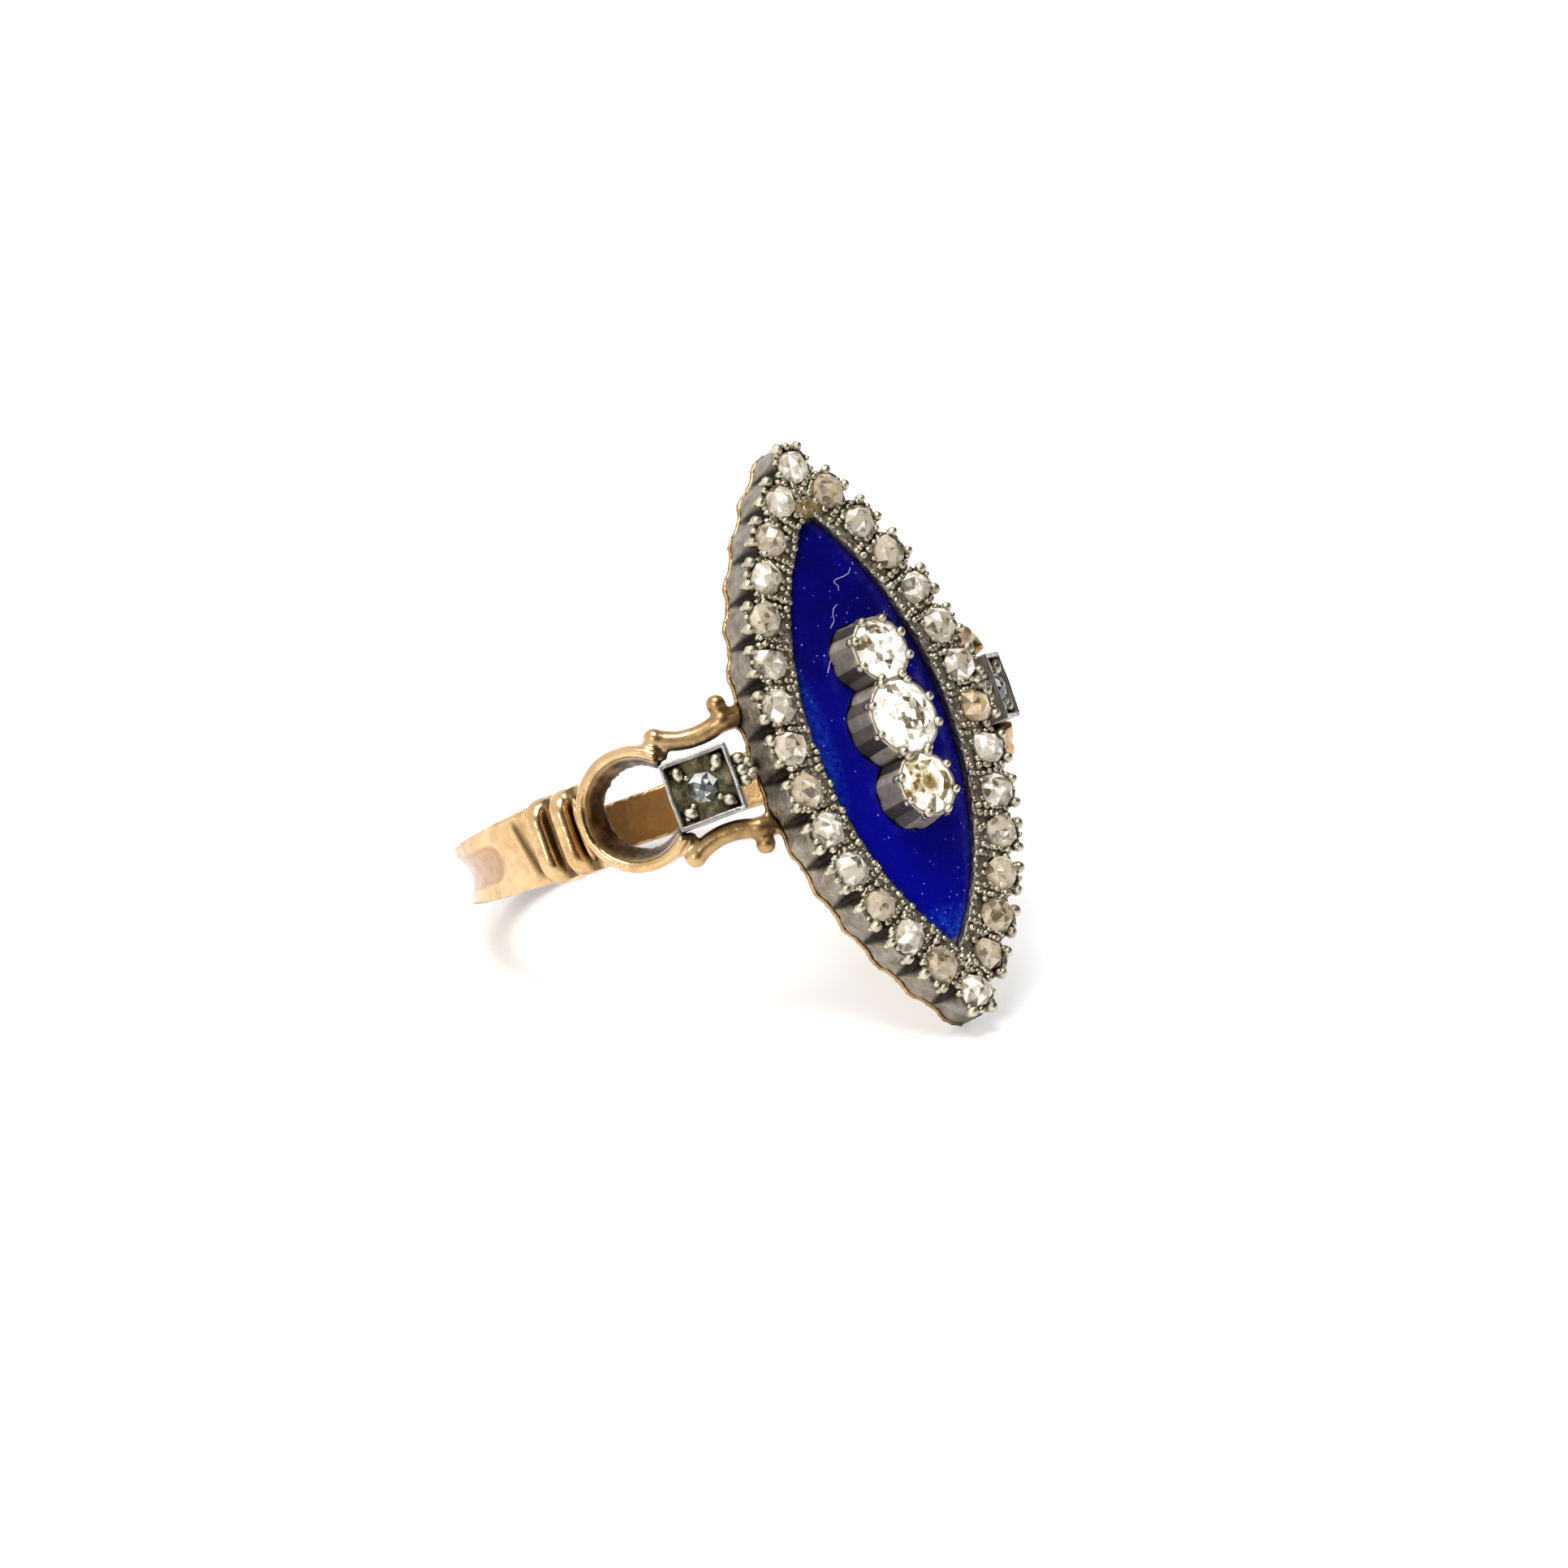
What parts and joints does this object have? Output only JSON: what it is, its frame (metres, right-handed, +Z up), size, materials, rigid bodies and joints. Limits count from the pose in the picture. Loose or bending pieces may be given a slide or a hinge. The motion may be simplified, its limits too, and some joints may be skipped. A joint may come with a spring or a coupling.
{
  "type": "marquise enamel ring",
  "caption": "Marquise ring lying on its side: domed blue enamel plaque with a row of old-cut stones, rose-cut stone border in silver, gold band with scrolled shoulders.",
  "frame": {"origin": "middle of the bounding box's underside: the height the ring rests on, under its middle", "axes": "+Z up from the table, +Y from the head's face towards the back of the band, +X from the left shoulder to the right as seen from the head; the finger's axis leans in the YZ plane"},
  "size_m": [0.0208, 0.0244, 0.0195],
  "materials": {
    "gold": "worn, softly polished, dark in the hollows",
    "silver": "tarnished, with bright worn beads and rims",
    "enamel": "glossy with fine scratches",
    "diamond": "clear to greyish, polished facets"
  },
  "bodies": {
    "root": {"shank": "gold", "silver_border": "silver", "centre_collets": "silver", "left_box": "silver", "right_box": "silver", "enamel": "enamel", "left_box_stone": "diamond", "right_box_stone": "diamond", "centre_stone_top": "diamond", "centre_stone_middle": "diamond", "centre_stone_bottom": "diamond", "border_stone_1": "diamond", "border_stone_2": "diamond", "border_stone_3": "diamond", "border_stone_4": "diamond", "border_stone_5": "diamond", "border_stone_6": "diamond", "border_stone_7": "diamond", "border_stone_8": "diamond", "border_stone_9": "diamond", "border_stone_10": "diamond", "border_stone_11": "diamond", "border_stone_12": "diamond", "border_stone_13": "diamond", "border_stone_14": "diamond", "border_stone_15": "diamond", "border_stone_16": "diamond", "border_stone_17": "diamond", "border_stone_18": "diamond", "border_stone_19": "diamond", "border_stone_20": "diamond", "border_stone_21": "diamond", "border_stone_22": "diamond", "border_stone_23": "diamond", "border_stone_24": "diamond", "border_stone_25": "diamond", "border_stone_26": "diamond", "border_stone_27": "diamond", "border_stone_28": "diamond"}
  },
  "joints": []
}
